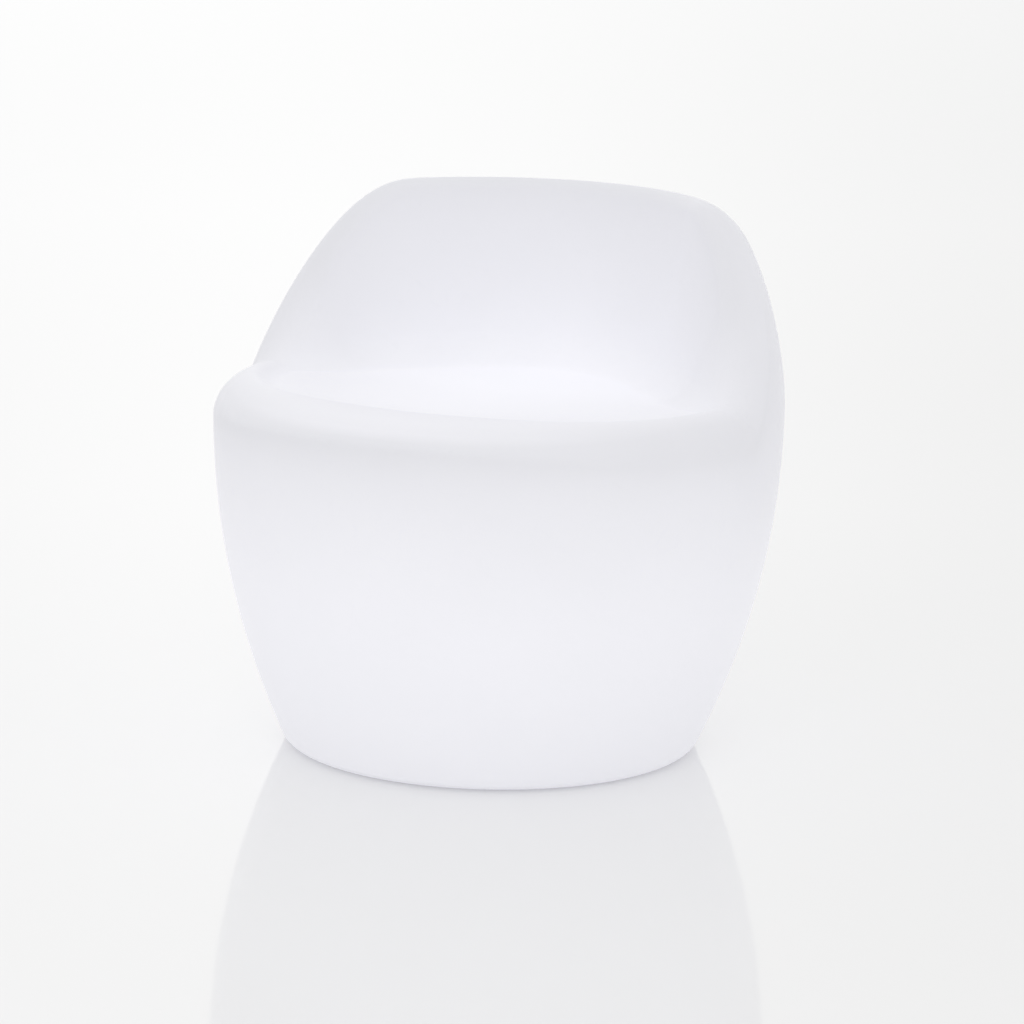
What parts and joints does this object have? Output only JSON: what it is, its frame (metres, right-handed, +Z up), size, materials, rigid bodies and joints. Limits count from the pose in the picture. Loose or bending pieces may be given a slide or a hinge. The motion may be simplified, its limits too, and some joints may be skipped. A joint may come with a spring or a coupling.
{
  "type": "led light-up stool",
  "caption": "Low round lounge stool with a scooped seat and a wrap-around backrest, moulded as one hollow white body that is lit from inside by a battery light module in its base.",
  "frame": {"origin": "on the floor, under the middle of the stool's outline seen from above", "axes": "+Z up, -Y towards the front, where the sitter's legs are, +X towards the sitter's left hand"},
  "size_m": [0.5798, 0.582, 0.556],
  "materials": {
    "shell": "satin, light-spreading polyethylene",
    "rubber": "matt",
    "steel": "satin",
    "brass": "satin",
    "housing": "satin",
    "silicone": "matt",
    "aluminium": "satin",
    "light_board": "satin",
    "led": "glossy",
    "dome": "satin, light-spreading",
    "black_plastic": "satin",
    "cell_sleeve": "glossy film",
    "board": "glossy lacquer",
    "red_wire": "satin",
    "black_wire": "satin"
  },
  "bodies": {
    "stool": {"shell": "shell", "foot_pad_1": "rubber", "foot_pad_2": "rubber", "foot_pad_3": "rubber", "foot_pad_4": "rubber", "foot_screw_1": "steel", "foot_screw_2": "steel", "foot_screw_3": "steel", "foot_screw_4": "steel", "flange_screw_1": "steel", "flange_screw_2": "steel", "flange_screw_3": "steel", "flange_screw_4": "steel", "flange_screw_5": "steel", "flange_screw_6": "steel", "dome_screw_1": "steel", "dome_screw_2": "steel", "dome_screw_3": "steel", "strap_screw_1": "steel", "strap_screw_2": "steel", "board_screw_1": "steel", "board_screw_2": "steel", "board_screw_3": "steel", "button_spring": "steel", "socket_nut": "steel", "flange_insert_1": "brass", "flange_insert_2": "brass", "flange_insert_3": "brass", "flange_insert_4": "brass", "flange_insert_5": "brass", "flange_insert_6": "brass", "module_base": "housing", "module_gasket": "silicone", "dome_seal": "silicone", "cap_anchor": "silicone", "light_carrier": "aluminium", "cell_strap": "aluminium", "capacitor": "aluminium", "light_board": "light_board", "led_1": "led", "led_2": "led", "led_3": "led", "led_4": "led", "led_5": "led", "led_6": "led", "light_dome": "dome", "cell_tray": "black_plastic", "control_chip": "black_plastic", "charge_coil": "black_plastic", "power_switch": "black_plastic", "charge_socket": "black_plastic", "cell_1": "cell_sleeve", "cell_2": "cell_sleeve", "control_board": "board", "cell_wire_plus": "red_wire", "light_wire_plus": "red_wire", "cell_wire_minus": "black_wire", "light_wire_minus": "black_wire"},
    "button": {"power_button": "housing"},
    "cap": {"socket_cap": "silicone"}
  },
  "joints": [
    {"name": "button_press", "type": "slide", "parent": "stool", "child": "button", "axis": [0, 0, 1], "range_m": [0, 0.0012], "stiffness_N_per_m": 400, "springref_m": -0.002, "deforming": ["button_spring"]},
    {"name": "cap_hinge", "type": "hinge", "parent": "stool", "child": "cap", "pos_m": [-0.02725, -0.043, 0.0256], "axis": [0, 1, 0], "range_deg": [0, 100]}
  ]
}
